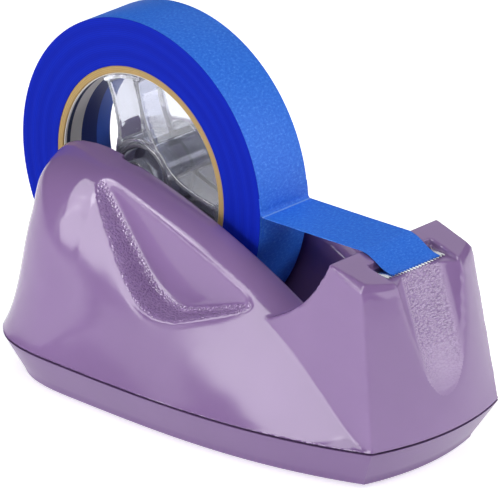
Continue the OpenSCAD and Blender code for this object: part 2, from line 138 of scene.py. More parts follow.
# the same ABS off a textured tool: grain breaks the highlight up, and dies out into smooth plastic; where the
# grain is full, its colour carries painted highlight and painted shade
# near and far are counted from line, which is how far out from the middle the grain is centred
def grainAbs(name, g):
    mat = newMaterial(name)
    place = put(mat, "ShaderNodeTexCoord").outputs["Object"]
    parts = put(mat, "ShaderNodeSeparateXYZ", {"Vector": place})
    side = put(mat, "ShaderNodeMath", {0: parts.outputs["Y"]}, operation="ABSOLUTE")
    past = put(mat, "ShaderNodeMath", {0: side.outputs[0], 1: g["line"] * mm}, operation="SUBTRACT")
    off = put(mat, "ShaderNodeMath", {0: past.outputs[0]}, operation="ABSOLUTE")
    spread = put(
        mat, "ShaderNodeMapRange", {"Value": off.outputs[0]}, interpolation_type="SMOOTHSTEP",
        From_Min=g["near"] * mm, From_Max=g["far"] * mm, To_Min=g["atNear"], To_Max=g["atFar"])
    rise = put(
        mat, "ShaderNodeMapRange", {"Value": parts.outputs["Z"]},
        From_Min=g["footZ"] * mm, From_Max=g["fullZ"] * mm)
    strength = put(mat, "ShaderNodeMath", {0: spread.outputs[0], 1: rise.outputs[0]}, operation="MULTIPLY")
    perCell = [1 / (g[way] * mm) for way in ("along", "across", "along")]
    drawn = put(mat, "ShaderNodeMapping", {"Vector": place}, Scale=perCell)
    warp = put(mat, "ShaderNodeTexNoise", {"Vector": drawn.outputs[0]}, Scale=0.6, Detail=2.0)
    bend = put(mat, "ShaderNodeVectorMath", {0: warp.outputs["Color"], 1: drawn.outputs[0]}, operation="ADD")
    cells = put(mat, "ShaderNodeTexVoronoi", {"Vector": bend.outputs[0]}, feature="F1", Scale=1.0)
    bump = put(
        mat, "ShaderNodeBump", {"Height": cells.outputs["Distance"], "Strength": strength.outputs[0]},
        invert=True, Distance=g["height"] * mm)
    # painted light and shade: the tone follows each cell and the grain's strength, from body to deep
    paintedCellLight = put(
        mat, "ShaderNodeMath", {0: cells.outputs["Distance"], 1: strength.outputs[0]}, operation="MULTIPLY")
    tone = stops(put(mat, "ShaderNodeValToRGB", {"Fac": paintedCellLight.outputs[0]}), [(0.05, g["body"]), (0.7, g["deep"])])
    skin = put(
        mat, "ShaderNodeMix", {"Factor": strength.outputs[0], 6: linear(plain["body"]), 7: tone.outputs["Color"]},
        data_type="RGBA")
    gloss, shine = (
        put(mat, "ShaderNodeMapRange", {"Value": strength.outputs[0]}, To_Min=plain[key], To_Max=g[key])
        for key in ("rough", "shine"))
    shader = put(
        mat, "ShaderNodeBsdfPrincipled",
        {"Base Color": skin.outputs[2], "Normal": bump.outputs[0], "Roughness": gloss.outputs[0],
         "Specular IOR Level": shine.outputs[0]},
        IOR=absIor)
    return finishMaterial(mat, shader)


# 0.5 mm pimples, drawn at 0.9 to show, worn smooth on the grip's floor; their paler deep tone is painted light
# that lifts the grip's shaded walls
gripGrainAndLight = dict(
    body="#8C6FA0", deep="#A083B4", across=0.9, along=0.9, height=0.4, rough=0.2, shine=0.9,
    line=gripHalf, near=0.15, far=1.2, atNear=0.02, atFar=1.0, footZ=0, fullZ=1)
# 0.6 mm creases run across the dish and die out at its edges and towards its foot; the pale cell tops, the darker
# creases and the dish's paler tone are painted highlight and painted shade
dishGrainAndLight = dict(
    body="#CBB6D9", deep="#997EAD", across=1.25, along=0.6, height=0.5, rough=0.24, shine=0.9,
    line=0, near=7.5, far=11, atNear=1.0, atFar=0.0, footZ=31, fullZ=54)

housingAbs = glossAbs("glossMouldedAbs", **plain)
baseAbs = glossAbs("satinMouldedAbs", "#765B89", "#725785", 0.3, 0.3)
gripAbs = grainAbs("sparkGrainAbs", gripGrainAndLight)
dishAbs = grainAbs("leatherGrainAbs", dishGrainAndLight)


# where the strip is folded, along its web, and the painted highlight along the fold: its width, its share and its
# pale blue
tapeFoldHighlight = dict(at=57.4, wide=0.55, highlightMix=0.7, tone="#9CC4FA")


# creped paper with a dyed, lightly waxed face: short wrinkles across the web, paler fibre specks, and a painted
# highlight along the strip's fold
def crepeTape():
    mat = newMaterial("crepedPaperTape")
    web = put(mat, "ShaderNodeUVMap", uv_map="web").outputs[0]
    # 0.2 mm wrinkles, drawn at 0.5
    pleat = put(mat, "ShaderNodeMapping", {"Vector": web}, Scale=(1 / 0.5, 1 / 3.2, 1))
    wrinkle = put(mat, "ShaderNodeTexNoise", {"Vector": pleat.outputs[0]}, Scale=1.0, Detail=3.0, Roughness=0.6)
    speck = put(mat, "ShaderNodeMapping", {"Vector": web}, Scale=(1 / 0.9, 1 / 1.4, 1))
    fibre = put(mat, "ShaderNodeTexNoise", {"Vector": speck.outputs[0]}, Scale=1.0, Detail=4.0, Roughness=0.7)
    tone = stops(
        put(mat, "ShaderNodeValToRGB", {"Fac": fibre.outputs[0]}),
        [(0.36, "#2568DE"), (0.55, "#3278E6"), (0.72, "#5594F2")])
    run = put(mat, "ShaderNodeSeparateXYZ", {"Vector": web}).outputs["X"]
    past = put(mat, "ShaderNodeMath", {0: run, 1: stripWeb + tapeFoldHighlight["at"]}, operation="SUBTRACT")
    off = put(mat, "ShaderNodeMath", {0: past.outputs[0]}, operation="ABSOLUTE")
    # painted highlight: within wide of the fold line the face is mixed towards a pale blue, standing in for the
    # light the bend catches
    foldSheen = put(
        mat, "ShaderNodeMapRange", {"Value": off.outputs[0]},
        From_Max=tapeFoldHighlight["wide"], To_Min=tapeFoldHighlight["highlightMix"], To_Max=0.0)
    face = put(
        mat, "ShaderNodeMix", {"Factor": foldSheen.outputs[0], 6: tone.outputs["Color"], 7: linear(tapeFoldHighlight["tone"])},
        data_type="RGBA")
    bump = put(mat, "ShaderNodeBump", {"Height": wrinkle.outputs[0]}, Strength=0.7, Distance=0.12 * mm)
    shader = put(
        mat, "ShaderNodeBsdfPrincipled", {"Base Color": face.outputs[2], "Normal": bump.outputs[0]},
        Roughness=0.5, IOR=1.48, Specular_IOR_Level=0.25)
    return finishMaterial(mat, shader)


def ringWave(mat, place, pitch, wander, detail, detailScale):
    # rings round the roll's axis, pitch millimetres apart; the node's own phase runs 20 to the unit
    centred = put(mat, "ShaderNodeMapping", {"Vector": place}, Location=tuple(-axis * mm))
    return put(
        mat, "ShaderNodeTexWave", {"Vector": centred.outputs[0]}, wave_type="RINGS", rings_direction="Y",
        Scale=2 * math.pi / (20 * pitch * mm), Distortion=wander, Detail=detail, Detail_Scale=detailScale)


# the slit edge of hundreds of turns: deeper blue, fine rings, a dull satin
def woundEdge():
    mat = newMaterial("slitTapeEdge")
    place = put(mat, "ShaderNodeTexCoord").outputs["Object"]
    rings = ringWave(mat, place, 0.7, 2.0, 3.0, 0.4)  # 0.15 mm turns, drawn at 0.7
    broad = ringWave(mat, place, 5, 3.0, 2.0, 0.3)  # bands where the winding changed
    both = put(mat, "ShaderNodeMix", {0: 0.4, 2: rings.outputs["Fac"], 3: broad.outputs["Fac"]})
    tone = stops(
        put(mat, "ShaderNodeValToRGB", {"Fac": both.outputs[0]}),
        [(0.1, "#071DA2"), (0.55, "#0820A9"), (0.95, "#0A26B4")])
    bump = put(mat, "ShaderNodeBump", {"Height": rings.outputs["Fac"]}, Strength=0.2, Distance=0.05 * mm)
    shader = put(
        mat, "ShaderNodeBsdfPrincipled", {"Base Color": tone.outputs[0], "Normal": bump.outputs[0]},
        Roughness=0.7, IOR=1.45, Specular_IOR_Level=0.06)
    return finishMaterial(mat, shader)


# grey-brown spiral-wound board: pulp flecks, and 0.65 mm plies on its cut ends
def coreBoard():
    mat = newMaterial("spiralWoundBoard")
    place = put(mat, "ShaderNodeTexCoord").outputs["Object"]
    plies = ringWave(mat, place, 0.65, 2.5, 3.0, 0.5)
    flecks = put(mat, "ShaderNodeTexNoise", {"Vector": place}, Scale=1 / (0.9 * mm), Detail=5.0, Roughness=0.7)
    both = put(mat, "ShaderNodeMath", {0: plies.outputs["Fac"], 1: flecks.outputs[0]}, operation="MULTIPLY")
    tone = stops(
        put(mat, "ShaderNodeValToRGB", {"Fac": both.outputs[0]}), [(0.05, "#A08350"), (0.45, "#B2955F")])
    bump = put(mat, "ShaderNodeBump", {"Height": flecks.outputs[0]}, Strength=0.4, Distance=0.1 * mm)
    shader = put(
        mat, "ShaderNodeBsdfPrincipled", {"Base Color": tone.outputs[0], "Normal": bump.outputs[0]},
        Roughness=0.85, IOR=1.4)
    return finishMaterial(mat, shader)


# coated label paper: plain bands of ink that run round the core, with a slight gloss
def bandedPaper():
    mat = newMaterial("coatedLabelPaper")
    place = put(mat, "ShaderNodeTexCoord").outputs["Object"]
    across = put(mat, "ShaderNodeSeparateXYZ", {"Vector": place}).outputs["Y"]
    edge = 11.5 * mm  # half the sleeve's width
    run = put(mat, "ShaderNodeMapRange", {"Value": across}, From_Min=-edge, From_Max=edge)
    ink = stops(
        put(mat, "ShaderNodeValToRGB", {"Fac": run.outputs[0]}),
        [(0.0, "#ECEAE4"), (0.04, "#2A3550"), (0.12, "#D6D4CE"), (0.36, "#22326C"), (0.70, "#3559B4")])
    ink.color_ramp.interpolation = "CONSTANT"
    fibre = put(mat, "ShaderNodeTexNoise", {"Vector": place}, Scale=1 / (0.6 * mm), Detail=3.0)
    gloss = put(mat, "ShaderNodeMapRange", {"Value": fibre.outputs[0]}, To_Min=0.4, To_Max=0.6)
    shader = put(
        mat, "ShaderNodeBsdfPrincipled", {"Base Color": ink.outputs[0], "Roughness": gloss.outputs[0]}, IOR=1.5)
    return finishMaterial(mat, shader)


# clear moulded polystyrene: bright edges and bent reflections, a few flow marks
# its IOR is 1.59, drawn at 1.36 because the hub is seen through more plainly in the photograph
def clearStyrene():
    mat = newMaterial("clearPolystyrene")
    place = put(mat, "ShaderNodeTexCoord").outputs["Object"]
    flow = put(mat, "ShaderNodeTexNoise", {"Vector": place}, Scale=1 / (7 * mm), Detail=1.0)
    bump = put(mat, "ShaderNodeBump", {"Height": flow.outputs[0]}, Strength=0.3, Distance=0.25 * mm)
    shader = put(
        mat, "ShaderNodeBsdfPrincipled", {"Normal": bump.outputs[0]},
        Base_Color=linear("#E9EBF6"), Roughness=0.04, IOR=1.36, Transmission_Weight=0.86,
        Coat_Weight=1.0, Coat_Roughness=0.02)
    return finishMaterial(mat, shader)


# rolled or plated steel: bright, with a fine 0.4 mm grain that stretch draws out along the strip
def stripSteel(name, tone, rough, stretch):
    mat = newMaterial(name)
    place = put(mat, "ShaderNodeTexCoord").outputs["Object"]
    drawn = put(mat, "ShaderNodeMapping", {"Vector": place}, Scale=stretch)
    scratch = put(mat, "ShaderNodeTexNoise", {"Vector": drawn.outputs[0]}, Scale=1 / (0.4 * mm), Detail=3.0)
    gloss = put(mat, "ShaderNodeMapRange", {"Value": scratch.outputs[0]}, To_Min=rough - 0.08, To_Max=rough + 0.08)
    bump = put(mat, "ShaderNodeBump", {"Height": scratch.outputs[0]}, Strength=0.2, Distance=0.03 * mm)
    shader = put(
        mat, "ShaderNodeBsdfPrincipled", {"Roughness": gloss.outputs[0], "Normal": bump.outputs[0]},
        Base_Color=linear(tone), Metallic=1.0)
    return finishMaterial(mat, shader)


# die-cut cellular rubber: black-grey, dull, with open pores
def padRubber():
    mat = newMaterial("cellularRubber")
    place = put(mat, "ShaderNodeTexCoord").outputs["Object"]
    pores = put(mat, "ShaderNodeTexVoronoi", {"Vector": place}, Scale=1 / (0.6 * mm))
    tone = stops(
        put(mat, "ShaderNodeValToRGB", {"Fac": pores.outputs["Distance"]}), [(0.0, "#161618"), (0.6, "#2B2B2E")])
    bump = put(mat, "ShaderNodeBump", {"Height": pores.outputs["Distance"]}, Strength=0.5, Distance=0.2 * mm)
    shader = put(
        mat, "ShaderNodeBsdfPrincipled", {"Base Color": tone.outputs[0], "Normal": bump.outputs[0]}, Roughness=0.9)
    return finishMaterial(mat, shader)


tapePaper = crepeTape()
tapeEdge = woundEdge()
board = coreBoard()
label = bandedPaper()
styrene = clearStyrene()
bladeSteel = stripSteel("coldRolledStripSteel", "#D2D4D8", 0.2, (1, 0.15, 1))
plateSteel = stripSteel("hotRolledPlateSteel", "#8B8C90", 0.5, (1, 1, 1))
screwSteel = stripSteel("zincPlatedSteel", "#B9BCC2", 0.3, (1, 1, 1))
rubber = padRubber()
print("materials made:", len(bpy.data.materials))


# shaping helpers


def loft(cols, rows, point):
    # a grid whose corners are moved to point(column, row); what falls together is merged
    bm = bmesh.new()
    bmesh.ops.create_grid(bm, x_segments=cols, y_segments=rows, size=1)
    for v in bm.verts:
        v.co = point(round((v.co.x + 1) / 2 * cols), round((v.co.y + 1) / 2 * rows))
    bmesh.ops.remove_doubles(bm, verts=bm.verts, dist=1e-4)
    bmesh.ops.dissolve_degenerate(bm, edges=bm.edges, dist=1e-5)
    return bm


def bothSides(bm):
    bmesh.ops.mirror(bm, geom=bm.verts[:] + bm.edges[:] + bm.faces[:], axis="Y", merge_dist=1e-3)
    bmesh.ops.recalc_face_normals(bm, faces=bm.faces)
    return bm


def plate(outline, half):
    # a closed side view, given as (x, z), run from -half to half across the part
    bm = bmesh.new()
    ring = [bm.verts.new((x, -half, z)) for x, z in outline]
    face = bm.faces.new(ring)
    run = bmesh.ops.extrude_face_region(bm, geom=[face])["geom"]
    bmesh.ops.translate(bm, vec=(0, 2 * half, 0), verts=[g for g in run if isinstance(g, bmesh.types.BMVert)])
    bmesh.ops.recalc_face_normals(bm, faces=bm.faces)
    return bm


def turned(profile, steps):
    # a closed profile of (radius, y) spun round the roll's axis
    bm = bmesh.new()
    ring = [bm.verts.new((r, y, 0)) for r, y in profile]
    edges = [bm.edges.new(pair) for pair in zip(ring, ring[1:] + ring[:1])]
    bmesh.ops.spin(
        bm, geom=ring + edges, cent=(0, 0, 0), axis=(0, 1, 0), angle=2 * math.pi, steps=steps,
        use_merge=True, use_duplicate=False)
    bmesh.ops.remove_doubles(bm, verts=bm.verts, dist=1e-4)
    bmesh.ops.recalc_face_normals(bm, faces=bm.faces)
    return bm


def asObject(bm, name, *materials):
    mesh = bpy.data.meshes.new(name)
    bm.to_mesh(mesh)
    bm.free()
    for mat in materials:
        mesh.materials.append(mat)
    obj = bpy.data.objects.new(name, mesh)
    bpy.context.scene.collection.objects.link(obj)
    return obj


def settle(obj):
    # bakes the modifiers into the mesh
    bpy.context.view_layer.update()
    done = bpy.data.meshes.new_from_object(obj.evaluated_get(bpy.context.evaluated_depsgraph_get()))
    old = obj.data
    obj.modifiers.clear()
    obj.data = done
    bpy.data.meshes.remove(old)
    return obj


def carve(obj, tool, operation="DIFFERENCE"):
    step = obj.modifiers.new("carve", "BOOLEAN")
    step.operation = operation
    step.solver = "EXACT"
    step.material_mode = "TRANSFER"
    step.object = tool
    settle(obj)
    bpy.data.objects.remove(tool)
    return obj


def smoothBy(mesh, degrees):
    mesh.shade_smooth()
    mesh.set_sharp_from_angle(angle=math.radians(degrees))


def seat(obj, body, slot, *nodes):
    obj.data.transform(toFrame)
    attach(obj, body)
    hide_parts(*nodes)
    print("piece:", obj.name, len(obj.data.polygons), "faces")


# housing

# ribs are counted from the back round to the nose; a pair is the rearmost rib's value and the front ribs'
housing = dict(
    tail=48, half=53, cornerHalf=32.5, reach=136.6, bow=87, sidePow=2.9, rearPow=0.63,
    peakBack=20, peakRise=11, crestHalf=17.4, crestSlope=0.12, dipX=82, dipFall=20.8, crestEnd=0.6,
    rimIn=2.8, rimFall=1.9, rimLeast=0.3, rearRibs=14, sideRibs=26, blendFrom=7.7, blendOver=14.62,
    lowOut=(0.3, 0.33), highOut=(0.02, 0.5), lowRise=(0.36, 0.38),
    swell=1.9, swellX=-13, swellWide=11, square=0.075, squareFrom=5, squareFade=6,
    rear=60, side=130, crowd=1.7, up=70, rim=6, skirt=5,
)
# a plan view: how far it runs back, out and forward, its half width at the front corners and the front's bow
planLine = namedtuple("planLine", "tail half cornerHalf reach bow")
seamLine = planLine(*(housing[key] for key in planLine._fields))
footLine = planLine(tail=42, half=45.5, cornerHalf=27.475, reach=126.6, bow=87)


def frontPoint(o, y):
    return o.reach - o.bow + math.sqrt(o.bow**2 - y * y), y


def cornerX(o):
    return frontPoint(o, o.cornerHalf)[0]


def rearPoint(o, a):
    return -o.tail * math.cos(a) ** housing["rearPow"], o.half * math.sin(a) ** housing["rearPow"]


def sidePoint(o, u):
    return u * cornerX(o), o.half - (o.half - o.cornerHalf) * u ** housing["sidePow"]


def rearTurn(t):
    # crowds the columns at both ends of the rounded back
    a, b = t ** housing["crowd"], (1 - t) ** housing["crowd"]
    return min(math.pi / 2 * a / (a + b), math.pi / 2 - 1e-9)


def crestZ(x):
    # an arch from the peak to the dip, then a hollow down to the seam
    h = housing
    span = h["dipX"] + h["peakBack"]
    arch = (h["peakRise"] + h["dipFall"] - h["crestSlope"] * span) / span**2
    if x <= h["dipX"]:
        past = x + h["peakBack"]
        return h["peakRise"] - h["crestSlope"] * past - arch * past**2
    t, end = x - h["dipX"], cornerX(seamLine) - h["dipX"]
    slope = h["crestSlope"] + 2 * arch * span
    bend = (seamZ + h["crestEnd"] + h["dipFall"] + slope * end) / end**2
    return -h["dipFall"] - slope * t + bend * t * t


def saddlePoint(col, row):
    h = housing
    if col > h["rear"] + h["side"]:  # the last column closes the front
        p = saddlePoint(col - 1, row)
        return Vector((p.x, 0, p.z))
    if col < h["rear"]:
        a = rearTurn(col / h["rear"]) if col else 0.0
        s, rib, q = rearPoint(seamLine, a), 2 * h["rearRibs"] * a / math.pi, math.sin(a)
        c = (-h["peakBack"] * (1 - q), h["crestHalf"] * q ** h["rearPow"])
    else:
        u = (col - h["rear"]) / h["side"]
        s, rib, q = sidePoint(seamLine, u), h["rearRibs"] + h["sideRibs"] * u, 1.0
        c = (s[0], h["crestHalf"])
    w = ease((rib - h["blendFrom"]) / h["blendOver"])
    top = max(crestZ(c[0]), seamZ + h["rimFall"] + h["rimLeast"])
    row -= 2  # two rows below the seam make a skirt that is trimmed off later
    if row < 0:
        return Vector((s[0], s[1] if row == -1 else 0, seamZ - h["skirt"]))
    if row <= h["up"]:
        t = row / h["up"]
        out = cubic(0, mix(*h["lowOut"], w), mix(*h["highOut"], w), 1, t)
        rise = cubic(0, mix(*h["lowRise"], w), 1, 1, t)
        high = max(0, 2 * t - 1)
        atBack = 1 - ease((rib - h["squareFrom"]) / h["squareFade"])
        out -= h["square"] * atBack * (4 * high * (1 - high)) ** 2  # square rear shoulders
        x = mix(s[0], c[0], out)
        beside = math.exp(-((x - h["swellX"]) / h["swellWide"]) ** 2)
        swell = h["swell"] * beside * 4 * t * (1 - t)  # shoulder behind the grip
        return Vector((x, mix(s[1], c[1], out) + swell * q, mix(seamZ, top, rise)))
    t = min(1, (row - h["up"]) / h["rim"])
    x = c[0] + h["rimIn"] * (1 - q) * t
    y = c[1] * (1 - t * h["rimIn"] / h["crestHalf"])
    return Vector((x, y if row <= h["up"] + h["rim"] else 0, top - h["rimFall"] * t * t))


# the front bellies out between seam and top, and leans back above leanZ
nose = dict(
    topHalf=27.4, topX=120.2, midX=127.5, back=58, backIn=4, levels=40, front=30, top=4.6,
    belly=9.2, leanZ=-4, lean=0.5, throatX=61.6, throatZ=19, throatR=46.6,
)
# its sloped flat top, whose chamfers widen to the front; ends are before and past backX
cap = dict(backX=104.7, rise=3.1, slope=13, chamfer=0.4, frontChamfer=1.6, deep=16, ends=(-20, 40), foot=-9)
beyond = dict(half=60, long=160, low=-80, high=90)  # how far the tools run, clear of the housing


def nosePoint(col, row):
    n = nose
    t = min(n["levels"], max(0, row - 2)) / n["levels"]
    z = mix(seamZ, n["top"], t) if row > 1 else seamZ - housing["skirt"]
    half = mix(housing["cornerHalf"], n["topHalf"], t)
    lean = max(0, z - n["leanZ"]) * n["lean"]
    xk = mix(cornerX(seamLine), n["topX"], t) - lean
    xm = mix(housing["reach"], n["midX"], t) + n["belly"] * t * (1 - t) - lean
    r = (half**2 + (xm - xk) ** 2) / (2 * (xm - xk))
    if col == 0:
        x, y = n["back"] - n["backIn"], 0
    elif col == 1:
        x, y = n["back"], half
    else:
        y = half * (1 - (col - 2) / n["front"])
        x = xm - r + math.sqrt(r * r - y * y)
    return Vector((x, y if 0 < row <= n["levels"] + 2 else 0, z))


def wheel(x, z, r, half):
    bm = bmesh.new()
    bmesh.ops.create_cone(bm, cap_ends=True, segments=180, radius1=r, radius2=r, depth=2 * half)
    bmesh.ops.rotate(bm, cent=(0, 0, 0), matrix=Matrix.Rotation(math.pi / 2, 3, "X"), verts=bm.verts)
    bmesh.ops.translate(bm, vec=(x, 0, z), verts=bm.verts)
    return bm


def makeNose():
    n, c = nose, cap
    block = asObject(bothSides(loft(n["front"] + 2, n["levels"] + 3, nosePoint)), "noseBlock", housingAbs)
    run = n["topX"] - c["backX"]
    edge = [n["topHalf"] - mix(c["chamfer"], c["frontChamfer"], x / run) for x in c["ends"]]
    bm = bmesh.new()
    bmesh.ops.create_cube(bm, size=2)
    for v in bm.verts:
        side = 0 if v.co.x < 0 else 1
        down = c["deep"] if v.co.z < 0 else 0
        v.co = (c["ends"][side], math.copysign(edge[side] + down, v.co.y), -down)
    tilt = Matrix.Rotation(math.radians(c["slope"]), 3, "Y")
    bmesh.ops.rotate(bm, cent=(0, 0, 0), matrix=tilt, verts=bm.verts)
    bmesh.ops.translate(bm, vec=(c["backX"], 0, c["rise"]), verts=bm.verts)
    top = asObject(bm, "noseCap", housingAbs)
    low = plate(
        [(0, beyond["low"]), (beyond["long"], beyond["low"]), (beyond["long"], c["foot"]), (0, c["foot"])],
        beyond["half"])
    carve(top, asObject(low, "noseLow", housingAbs), "UNION")
    carve(block, top, "INTERSECT")
    throat = wheel(n["throatX"], n["throatZ"], n["throatR"], beyond["half"])
    return carve(block, asObject(throat, "throat", housingAbs))


# round under the roll, then a ramp up to the front; the wall grows less where it slopes
well = dict(
    r=61.5, half=15, turn=23, rampX=78, rampZ=seamZ * 0.75, rampGrow=0.8,
    front=98, frontZ=seamZ * 0.28, frontGrow=0.4, wall=2.4)


def wellOutline(grow):
    w = well
    r = w["r"] + grow
    down = [polar(r, a) for a in range(180, 270 + w["turn"] + 1)]
    front = w["front"] + grow
    return [(p.x, p.z) for p in down] + [
        (w["rampX"] + grow, w["rampZ"] - grow * w["rampGrow"]), (front, w["frontZ"] - grow * w["frontGrow"]),
        (front, beyond["high"]), (-r, beyond["high"])]


# a leaf with its top and tip a little below the crest; bendFrom and bendTo are where its low corner is rounded
grip = dict(
    half=gripHalf, topX=-2.5, topFall=4, lowX=30, lowZ=-37.5, tipX=73, tipFall=6, bendFrom=0.62, bendTo=0.35,
    steps=24, deep=40, fillet=3.4, open=30)


def gripOutline():
    g = grip
    top = Vector((g["topX"], crestZ(g["topX"]) - g["topFall"]))
    low = Vector((g["lowX"], g["lowZ"]))
    tip = Vector((g["tipX"], crestZ(g["tipX"]) - g["tipFall"]))
    a, b = top.lerp(low, g["bendFrom"]), low.lerp(tip, g["bendTo"])
    bend = []
    for k in range(g["steps"] + 1):
        t = k / g["steps"]
        bend.append(a * (1 - t) ** 2 + low * 2 * t * (1 - t) + b * t * t)
    return [(tip.x, g["open"]), (top.x, g["open"])] + [(p.x, p.y) for p in (top, *bend, tip)]


# a leaning trough down the front, from under the cutter to a point that is tip below the axis
dish = dict(r=26, x=120.4, z=-2, tip=45, short=0.5, long=130, shift=39)
blade = dict(
    tipX=121.2, tipZ=-1.7, wide=29.6, long=7.8, thick=0.8, teeth=20, tooth=1.1, root=0.6, tilt=6, ease=0.12)
recess = dict(x=112.3, half=15.9, front=150, high=30)
axleSlot = dict(r=4.1, middle=15.6, half=1.6, high=40)


def cutGrips(shell):
    g = grip
    for side in (-1, 1):
        leaf = plate(gripOutline(), g["deep"] / 2)
        bmesh.ops.translate(leaf, vec=(0, side * (g["half"] + g["deep"] / 2), 0), verts=leaf.verts)
        foot = [
            e for e in leaf.edges
            if all(abs(v.co.y) < g["half"] + 0.1 and v.co.z < g["open"] - 1 for v in e.verts)]
        bmesh.ops.bevel(
            leaf, geom=foot, offset=g["fillet"], segments=8, profile=0.5, affect="EDGES", material=-1)
        carve(shell, asObject(leaf, "leafTool", gripAbs))


def cutDish(shell):
    d = dish
    lean = math.atan2(housing["reach"] - d["short"] - d["x"], d["tip"] + d["z"])
    scoop = bmesh.new()
    bmesh.ops.create_cone(
        scoop, cap_ends=True, segments=240, radius1=d["r"], radius2=d["r"], depth=d["long"])
    bmesh.ops.translate(scoop, vec=(-d["r"], 0, d["shift"]), verts=scoop.verts)
    bmesh.ops.rotate(scoop, cent=(0, 0, 0), matrix=Matrix.Rotation(math.pi - lean, 3, "Y"), verts=scoop.verts)
    bmesh.ops.translate(scoop, vec=(d["x"], 0, d["z"]), verts=scoop.verts)
    carve(shell, asObject(scoop, "scoopTool", dishAbs))


def cutRecess(shell):
    # its bed lies under the blade and falls with it
    r, b = recess, blade
    fall = math.tan(math.radians(b["tilt"]))
    bed = [(x, b["tipZ"] - b["thick"] + (b["tipX"] - x) * fall) for x in (r["x"], r["front"])]
    tool = plate(bed + [(r["front"], r["high"]), (r["x"], r["high"])], r["half"])
    carve(shell, asObject(tool, "recessTool", housingAbs))


def cutSlots(shell):
    # open-topped slots that the hub's axle drops into
    a = axleSlot
    bottom = [tuple(polar(a["r"], turn).xz) for turn in range(0, -181, -10)]
    for side in (-1, 1):
        slot = plate([(a["r"], a["high"]), *bottom, (-a["r"], a["high"])], a["half"])
        bmesh.ops.translate(slot, vec=(0, side * a["middle"], 0), verts=slot.verts)
        carve(shell, asObject(slot, "slotTool", housingAbs))


def makeHousing():
    h = housing
    saddle = loft(h["rear"] + h["side"] + 1, h["up"] + h["rim"] + 3, saddlePoint)
    shell = asObject(bothSides(saddle), "housing", housingAbs)
    carve(shell, makeNose(), "UNION")
    carve(shell, asObject(plate(wellOutline(0), well["half"]), "wellTool", housingAbs))
    for cut in (cutGrips, cutDish, cutRecess, cutSlots):
        cut(shell)
    return shell


# how far each kind of edge is rounded, and where the nose's upright edges and the open dish begin
soften = dict(
    voxel=1.12, fine=0.9, grip=3.6, dish=3.0, corner=2.0, crease=1.2, snap=0.36, sharp=14,
    dishZ=-7, noseZ=-4, noseHalf=20, noseX=60, frontX=112, seamSlack=0.05)
edgeStep = 0.15  # spacing of the points that stand for an edge
edgeFree = 0.6  # share of an edge's rounding that is left free of the exact surface
edgeRounds = ((0.3, 2), (1.0, 2), (1.9, 4), (2.5, 20))  # past each width, so many more rounds of smoothing


def housingRound(edge):
    s = soften
    ends = [v.co for v in edge.verts]
    middle = (ends[0] + ends[1]) / 2
    paints = [f.material_index for f in edge.link_faces]  # 1 is a grip, 2 the dish
    if max(p.z for p in ends) < seamZ + s["seamSlack"]:
        return 0.0
    if 1 in paints:
        return s["grip"]
    if middle.z < s["dishZ"] and 2 in paints:
        return s["dish"]
    if middle.z < s["noseZ"] and abs(middle.y) > s["noseHalf"] and middle.x > s["noseX"]:
        return s["crease"] if middle.x < s["frontX"] else s["corner"]
    return s["fine"]


def softenEdges(obj, s, roundOf, finish=None):
    # moulded edges are never sharp: an even skin is laid over the form, made finer beside
    # the edges, smoothed there only, and drawn back onto the exact surfaces everywhere else
    raw = bmesh.new()
    raw.from_mesh(obj.data)
    bmesh.ops.triangulate(raw, faces=raw.faces)
    raw.faces.ensure_lookup_table()
    tree = BVHTree.FromBMesh(raw)
    spots = []
    for e in raw.edges:
        if len(e.link_faces) == 2 and e.calc_face_angle(0) > math.radians(s["sharp"]):
            a, b = (v.co for v in e.verts)
            count = max(1, int((b - a).length / edgeStep))
            size = roundOf(e)
            spots += [(a.lerp(b, k / count), size) for k in range(count + 1)]
    lines = KDTree(len(spots))
    for k, (p, size) in enumerate(spots):
        lines.insert(p, k)
    lines.balance()
    paints = [f.material_index for f in raw.faces]
    mats = list(obj.data.materials)
    skin = obj.modifiers.new("skin", "REMESH")
    skin.mode = "VOXEL"
    skin.voxel_size = s["voxel"]
    settle(obj)
    bm = bmesh.new()
    bm.from_mesh(obj.data)
    beside = set()
    for v in bm.verts:
        v.co = tree.find_nearest(v.co)[0]
        k, away = lines.find(v.co)[1:]
        if away < spots[k][1] + s["voxel"]:
            beside.update(e for f in v.link_faces for e in f.edges)
    bmesh.ops.subdivide_edges(bm, edges=list(beside), cuts=1, use_grid_fill=True)
    size, near = {}, {}
    for v in bm.verts:
        v.co = tree.find_nearest(v.co)[0]
        p, k, near[v] = lines.find(v.co)
        size[v] = spots[k][1]
        if near[v] < s["snap"]:
            v.co = p
    for limit, rounds in edgeRounds:
        edgy = [v for v in bm.verts if size[v] > limit and near[v] < size[v]]
        for k in range(rounds):
            bmesh.ops.smooth_vert(bm, verts=edgy, factor=0.5, use_axis_x=True, use_axis_y=True, use_axis_z=True)
    for v in bm.verts:
        free = edgeFree * size[v]
        if size[v] and near[v] > free:
            v.co = v.co.lerp(tree.find_nearest(v.co)[0], ease((near[v] - free) / (size[v] - free)))
    for f in bm.faces:
        f.smooth = True
        f.material_index = paints[tree.find_nearest(f.calc_center_median())[2]]
    if finish:
        finish(bm)
    bmesh.ops.recalc_face_normals(bm, faces=bm.faces)
    obj.data.materials.clear()
    for mat in mats:
        obj.data.materials.append(mat)
    bm.to_mesh(obj.data)
    bm.free()
    raw.free()
    return obj


def cutAtSeam(bm, **cleared):
    return bmesh.ops.bisect_plane(
        bm, geom=bm.verts[:] + bm.edges[:] + bm.faces[:], plane_co=(0, 0, seamZ), plane_no=(0, 0, 1), **cleared)


